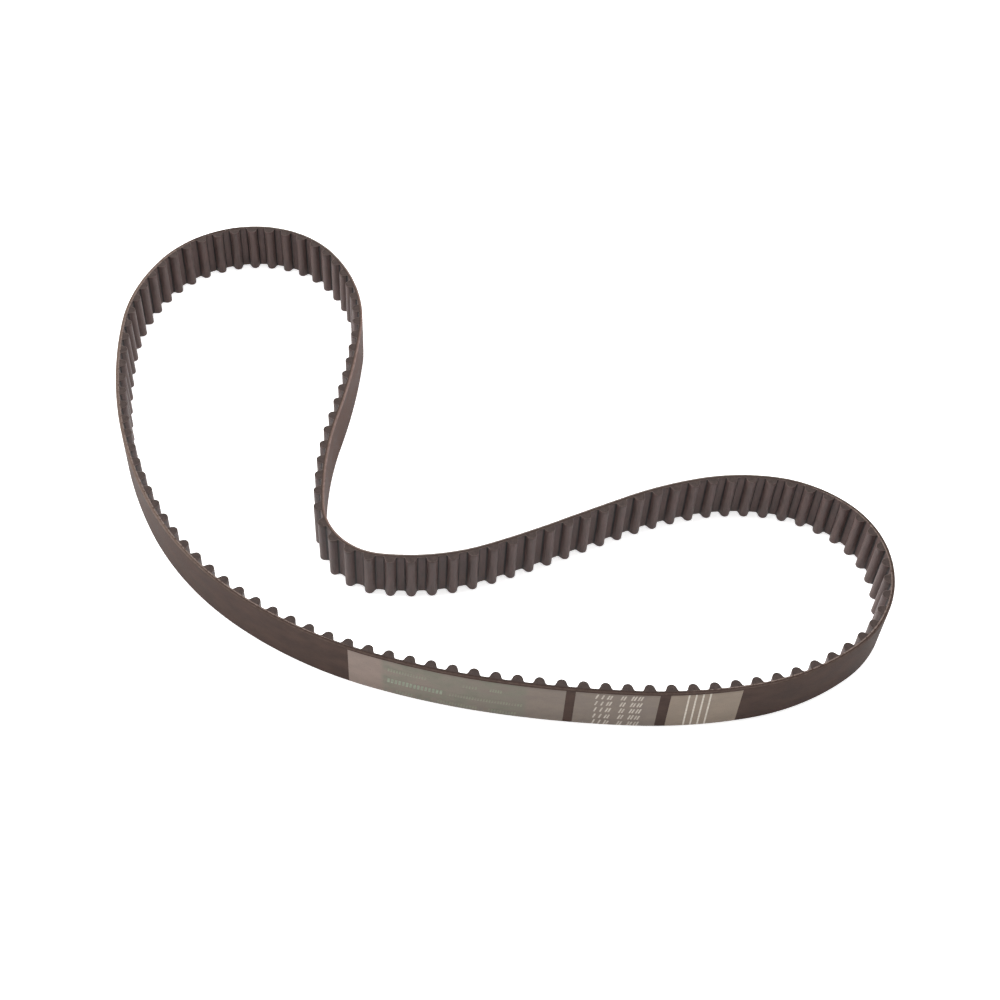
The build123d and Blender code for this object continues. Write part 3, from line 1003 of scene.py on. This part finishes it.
def make_light(name, place, size, watts):
    """A softbox that faces the origin."""
    data = bpy.data.lights.new(name, "AREA")
    data.shape = "RECTANGLE"
    data.size, data.size_y = size
    data.energy = watts
    lamp = bpy.data.objects.new(name, data)
    bpy.context.scene.collection.objects.link(lamp)
    lamp.location = place
    lamp.rotation_euler = (-Vector(place)).to_track_quat("-Z", "Y").to_euler()


def make_world():
    """A pale backdrop that is bright near the horizon and dim above, so it adds little light."""
    world = bpy.data.worlds.new("studio")
    world.use_nodes = True
    nodes, links = world.node_tree.nodes, world.node_tree.links
    split = nodes.new("ShaderNodeSeparateXYZ")
    links.new(nodes.new("ShaderNodeTexCoord").outputs["Generated"], split.inputs[0])
    fade = nodes.new("ShaderNodeMapRange")
    fade.interpolation_type = "SMOOTHSTEP"
    links.new(split.outputs["Z"], fade.inputs["Value"])
    fade.inputs["From Min"].default_value = sin(HORIZON_TOP)
    fade.inputs["From Max"].default_value = sin(SKY_START)
    fade.inputs["To Min"].default_value = HORIZON_GLOW
    fade.inputs["To Max"].default_value = SKY_GLOW
    background = nodes["Background"]
    background.inputs["Color"].default_value = (1.0, 1.0, 1.0, 1.0)
    links.new(fade.outputs["Result"], background.inputs["Strength"])
    bpy.context.scene.world = world


def make_camera():
    """A slightly long lens, in front of the belt and above it, rolled a little."""
    data = bpy.data.cameras.new("camera")
    data.sensor_width = 36.0
    data.lens = 56.104
    data.shift_x = 0.014457
    data.shift_y = 0.001145
    data.clip_start = 0.01
    data.clip_end = 50.0
    camera = bpy.data.objects.new("camera", data)
    bpy.context.scene.collection.objects.link(camera)
    level = Vector((0, sin(CAMERA_PITCH), cos(CAMERA_PITCH)))
    right = Vector((1, 0, 0)) * cos(CAMERA_ROLL) + level * sin(CAMERA_ROLL)
    upward = level * cos(CAMERA_ROLL) - Vector((1, 0, 0)) * sin(CAMERA_ROLL)
    back = Vector((0, -cos(CAMERA_PITCH), sin(CAMERA_PITCH)))
    turn = Matrix((right, upward, back)).transposed().to_4x4()
    camera.matrix_world = Matrix.Translation(CAMERA_PLACE) @ turn
    bpy.context.scene.camera = camera


# ---------------------------------------------------------------- the scene
make_camera()
make_world()
make_floor()
for softbox in SOFTBOXES:
    make_light(*softbox)
bpy.context.scene.view_settings.view_transform = "Standard"

make_back()
make_bedding()
make_facing()
for number, span in enumerate(CUT_CORD_SPANS, start=1):
    make_cut_cord(number, *span)
make_film(1, "label_film_maker", MAKER_PANEL)
make_film(2, "label_film_batch", BATCH_PANEL)
make_film(3, "label_film_lines", LINES_PANEL)
make_timing_lines()
make_batch_rows()
make_maker_rows()

for name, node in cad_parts.items():
    for family, material in (("teeth_", TOOTH), ("cords_", CORD)):
        if name.startswith(family):
            node.data.materials.clear()
            node.data.materials.append(material)
